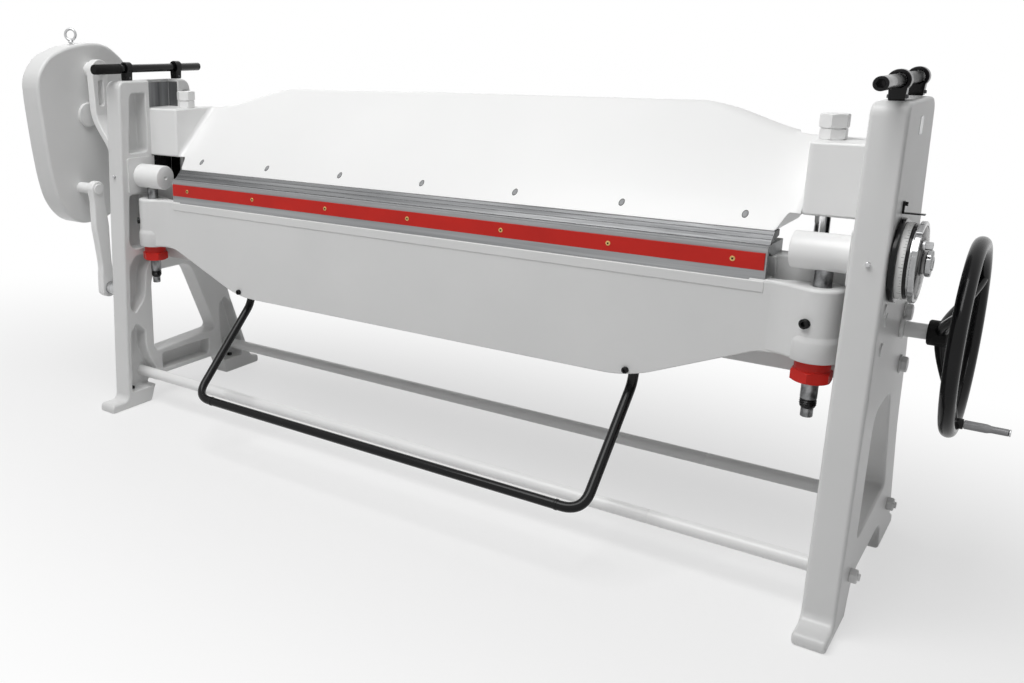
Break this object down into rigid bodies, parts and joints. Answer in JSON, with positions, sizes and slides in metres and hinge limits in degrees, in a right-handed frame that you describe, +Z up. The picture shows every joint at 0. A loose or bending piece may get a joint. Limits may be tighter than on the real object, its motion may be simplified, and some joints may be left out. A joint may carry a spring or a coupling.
{
  "type": "sheet metal folding machine",
  "caption": "Manual folder for sheet metal: cast side frames, bed, clamping beam raised by a handwheel, and a counterweighted folding beam with an angle dial",
  "frame": {"origin": "middle of the machine's footprint on the floor, at the centre of its bounding box", "axes": "X along the blades, to the handwheel; Y from the operator to the back; Z up"},
  "size_m": [3.067, 0.9106, 1.4388],
  "materials": {
    "cast_grey": "pale grey enamel over smoothed casting",
    "cast_white": "off-white enamel, satin",
    "blade_steel": "ground along the blade",
    "bright_steel": "turned",
    "chrome": "polished",
    "bronze": "machined bronze",
    "red_paint": "red enamel",
    "black_enamel": "gloss black enamel",
    "grip_rubber": "matt black rubber",
    "scale_white": "white enamel with fine dark marks"
  },
  "bodies": {
    "base": {"frame_left": "cast_grey", "frame_right": "cast_grey", "tie_bar_front": "cast_white", "tie_bar_rear": "cast_white", "bed_bolt_left_upper": "cast_white", "bed_bolt_left_lower": "cast_white", "bed_bolt_right_upper": "cast_white", "bed_bolt_right_lower": "cast_white", "bed": "cast_grey", "bed_blade": "blade_steel", "shaft_bearing": "bronze", "fixed_stop": "black_enamel", "bar_clamp_left_front": "black_enamel", "bar_clamp_left_rear": "black_enamel", "bar_clamp_right_front": "black_enamel", "bar_clamp_right_rear": "black_enamel", "guide_pivot_pin": "bright_steel"},
    "clamping": {"clamping_beam": "cast_white", "clamping_blade": "blade_steel", "spindle_lock_nut_left": "cast_white", "spindle_lock_nut_right": "cast_white", "spindle_left": "bright_steel", "spindle_right": "bright_steel"},
    "spindle_drive_left": {"spindle_gear_left": "bronze"},
    "spindle_drive_right": {"spindle_gear_right": "bronze"},
    "drive": {"handwheel": "black_enamel", "cross_shaft": "bright_steel", "shaft_gear_left": "bright_steel", "shaft_gear_right": "bright_steel", "shaft_sleeve": "cast_white", "crank_pin": "bright_steel"},
    "crank": {"crank_handle": "chrome"},
    "swing": {"trunnion_left": "cast_white", "trunnion_right": "cast_white", "hinge_stud_left": "black_enamel", "hinge_stud_right": "black_enamel", "counterweight_lever": "cast_white", "dial_disc": "black_enamel", "dial_scale": "scale_white", "dial_cap": "chrome"},
    "folding": {"folding_beam": "cast_grey", "folding_bar": "blade_steel", "red_strip": "red_paint", "stud_clamp_screw_left": "black_enamel", "stud_clamp_screw_right": "black_enamel", "bail_handle": "black_enamel", "bail_screw_left": "black_enamel", "bail_screw_right": "black_enamel"},
    "nut_left": {"adjusting_nut_left": "red_paint"},
    "nut_right": {"adjusting_nut_right": "red_paint"},
    "stop": {"stop_ring": "chrome", "stop_ring_screw": "bright_steel"},
    "weight": {"counterweight": "cast_grey", "weight_pin": "cast_white", "guide_top_pin": "bright_steel", "lifting_eye": "bright_steel"},
    "guide": {"guide_link": "cast_white"},
    "bar_left": {"lever_bar_left": "black_enamel", "lever_bar_grip": "grip_rubber"},
    "bar_right": {"lever_bar_right": "black_enamel"}
  },
  "joints": [
    {"name": "fold", "type": "hinge", "parent": "base", "child": "swing", "pos_m": [0, -0.18431, 0.9], "axis": [-1, 0, 0], "range_deg": [0, 135]},
    {"name": "weight_swing", "type": "hinge", "parent": "swing", "child": "weight", "pos_m": [-1.4835, -0.21431, 1.285], "axis": [-1, 0, 0], "range_deg": [-135, 0]},
    {"name": "guide_swing", "type": "hinge", "parent": "base", "child": "guide", "pos_m": [-1.3495, -0.25831, 0.463], "axis": [-1, 0, 0], "range_deg": [0, 135]},
    {"name": "beam_height", "type": "slide", "parent": "swing", "child": "folding", "axis": [0, 0, -1], "range_m": [0, 0.018]},
    {"name": "height_nut_left", "type": "hinge", "parent": "folding", "child": "nut_left", "pos_m": [-1.1465, -0.18431, 0.62], "axis": [0, 0, 1], "range_deg": [0, 1440]},
    {"name": "height_nut_right", "type": "hinge", "parent": "folding", "child": "nut_right", "pos_m": [1.1395, -0.18431, 0.62], "axis": [0, 0, 1], "range_deg": [0, 1440]},
    {"name": "stop_set", "type": "hinge", "parent": "swing", "child": "stop", "pos_m": [1.3235, -0.18431, 0.9], "axis": [-1, 0, 0], "range_deg": [-100, 35]},
    {"name": "wheel_turn", "type": "hinge", "parent": "base", "child": "drive", "pos_m": [1.4145, 0.05169, 0.688], "axis": [-1, 0, 0], "range_deg": [0, 3600]},
    {"name": "clamp_lift", "type": "slide", "parent": "base", "child": "clamping", "axis": [0, 0, 1], "range_m": [0, 0.1]},
    {"name": "spindle_turn_left", "type": "hinge", "parent": "base", "child": "spindle_drive_left", "pos_m": [-1.1015, -0.03831, 0.688], "axis": [0, 0, 1], "range_deg": [0, 3600]},
    {"name": "spindle_turn_right", "type": "hinge", "parent": "base", "child": "spindle_drive_right", "pos_m": [1.0945, -0.03831, 0.688], "axis": [0, 0, 1], "range_deg": [0, 3600]},
    {"name": "crank_spin", "type": "hinge", "parent": "drive", "child": "crank", "pos_m": [1.4835, 0.05169, 0.474], "axis": [1, 0, 0], "continuous": true},
    {"name": "bar_pull_left", "type": "slide", "parent": "base", "child": "bar_left", "axis": [0, -1, 0], "range_m": [0, 0.35]},
    {"name": "bar_pull_right", "type": "slide", "parent": "base", "child": "bar_right", "axis": [0, -1, 0], "range_m": [0, 0.28]}
  ],
  "couplings": [
    {"joint": "weight_swing", "follows": "fold", "ratio": -1},
    {"joint": "guide_swing", "follows": "fold", "ratio": 1},
    {"joint": "height_nut_left", "follows": "beam_height", "rad_per_m": 1396.3},
    {"joint": "height_nut_right", "follows": "beam_height", "rad_per_m": 1396.3},
    {"joint": "clamp_lift", "follows": "wheel_turn", "m_per_rad": 0.0015915},
    {"joint": "spindle_turn_left", "follows": "wheel_turn", "ratio": 1},
    {"joint": "spindle_turn_right", "follows": "wheel_turn", "ratio": 1}
  ]
}
